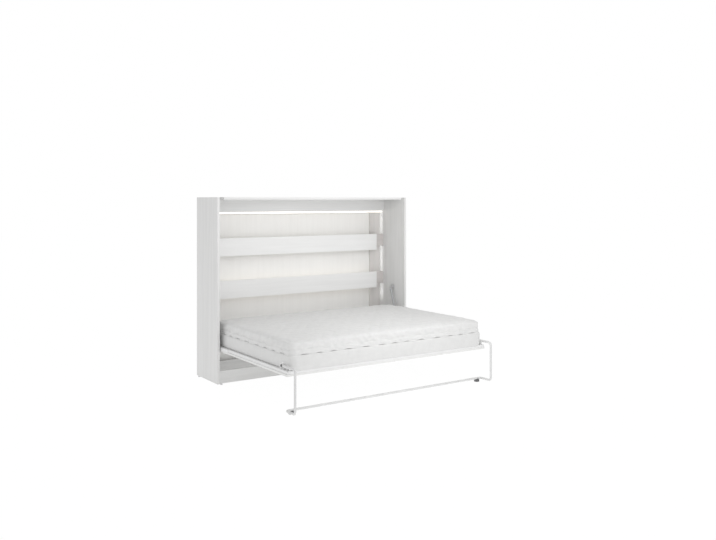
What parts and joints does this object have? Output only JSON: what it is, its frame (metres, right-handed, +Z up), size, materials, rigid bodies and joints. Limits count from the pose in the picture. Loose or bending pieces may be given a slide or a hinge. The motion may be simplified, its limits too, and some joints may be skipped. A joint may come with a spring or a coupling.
{
  "type": "cabinet bed",
  "caption": "Wide low wall cabinet whose front lets down as a double bed on side pivots, with a bent tube leg across its front, lit inner rails and a two-tier mattress.",
  "frame": {"origin": "on the floor, at the middle of the open bed's bounding box", "axes": "+X along the cabinet to the right of someone facing it, +Y from the front of the bed to the wall, +Z up"},
  "size_m": [2.13, 1.795, 1.69],
  "materials": {
    "carcass_board": "white laminated board, fine satin",
    "interior_board": "white laminated board, satin",
    "cleat_board": "grey laminated board, satin",
    "light_diffuser": "milky light diffuser",
    "face_board": "white laminated board, satin",
    "white_steel": "white powder coat",
    "slat_wood": "plain birch plywood",
    "bare_steel": "zinc-plated steel",
    "spring_paint": "grey satin paint",
    "black_rubber": "matte black rubber",
    "core_fabric": "smooth white knitted cover",
    "quilt_fabric": "quilted white knitted cover"
  },
  "bodies": {
    "cabinet": {"side_panel_left": "carcass_board", "side_panel_right": "carcass_board", "top_panel": "carcass_board", "plinth_board": "carcass_board", "rear_floor_rail": "carcass_board", "fascia_board": "interior_board", "back_panel_lower": "carcass_board", "back_panel_upper": "carcass_board", "upright_left": "interior_board", "upright_right": "interior_board", "rail_upper": "interior_board", "rail_lower": "interior_board", "led_channels_rail_upper": "light_diffuser", "led_channels_rail_lower": "light_diffuser", "rail_cleats": "cleat_board", "led_channel_fascia": "light_diffuser", "levelling_feet": "bare_steel", "hinge_plate_left": "bare_steel", "hinge_plate_right": "bare_steel", "pivot_pins": "bare_steel", "gas_plates": "bare_steel", "gas_studs_top": "bare_steel", "hinge_plate_screws": "bare_steel", "gas_plate_screws": "bare_steel"},
    "bed": {"face_panel_1": "face_board", "face_panel_2": "face_board", "face_panel_3": "face_board", "face_panel_4": "face_board", "frame_front_tube": "white_steel", "frame_rear_tube": "white_steel", "frame_side_tube_left": "white_steel", "frame_side_tube_right": "white_steel", "frame_centre_beam": "white_steel", "slat_ledges": "white_steel", "slats": "slat_wood", "mattress_stop": "face_board", "mattress_core": "core_fabric", "mattress_cover": "quilt_fabric", "leg_bracket_left": "white_steel", "leg_bracket_right": "white_steel", "leg_pins": "bare_steel", "leg_bracket_bolts": "bare_steel", "hinge_arm_left": "white_steel", "hinge_arm_right": "white_steel", "pivot_bushes": "bare_steel", "gas_studs_foot": "bare_steel"},
    "leg": {"leg_loop": "white_steel", "leg_foot_left": "black_rubber", "leg_foot_right": "black_rubber"},
    "spring_cylinder_left": {"gas_cylinder_left": "spring_paint", "gas_eye_left": "bare_steel"},
    "spring_rod_left": {"gas_rod_left": "bare_steel", "gas_rod_end_left": "bare_steel"},
    "spring_cylinder_right": {"gas_cylinder_right": "spring_paint", "gas_eye_right": "bare_steel"},
    "spring_rod_right": {"gas_rod_right": "bare_steel", "gas_rod_end_right": "bare_steel"}
  },
  "joints": [
    {"name": "deck_fold", "type": "hinge", "parent": "cabinet", "child": "bed", "pos_m": [0, 0.4975, 0.372], "axis": [-1, 0, 0], "range_deg": [0, 90]},
    {"name": "leg_fold", "type": "hinge", "parent": "bed", "child": "leg", "pos_m": [0, -0.6875, 0.372], "axis": [-1, 0, 0], "range_deg": [0, 184]},
    {"name": "spring_swing_left", "type": "hinge", "parent": "cabinet", "child": "spring_cylinder_left", "pos_m": [-1.012, 0.6325, 0.74], "axis": [1, 0, 0], "range_deg": [0, 11]},
    {"name": "spring_stroke_left", "type": "slide", "parent": "spring_cylinder_left", "child": "spring_rod_left", "axis": [0, -0.3463, -0.9381], "range_m": [0, 0.082]},
    {"name": "spring_swing_right", "type": "hinge", "parent": "cabinet", "child": "spring_cylinder_right", "pos_m": [1.012, 0.6325, 0.74], "axis": [1, 0, 0], "range_deg": [0, 11]},
    {"name": "spring_stroke_right", "type": "slide", "parent": "spring_cylinder_right", "child": "spring_rod_right", "axis": [0, -0.3463, -0.9381], "range_m": [0, 0.082]}
  ],
  "couplings": [
    {"joint": "spring_swing_left", "follows": "deck_fold", "ratio": 0.12077},
    {"joint": "spring_stroke_left", "follows": "deck_fold", "m_per_rad": 0.051366},
    {"joint": "spring_swing_right", "follows": "deck_fold", "ratio": 0.12077},
    {"joint": "spring_stroke_right", "follows": "deck_fold", "m_per_rad": 0.051366}
  ]
}
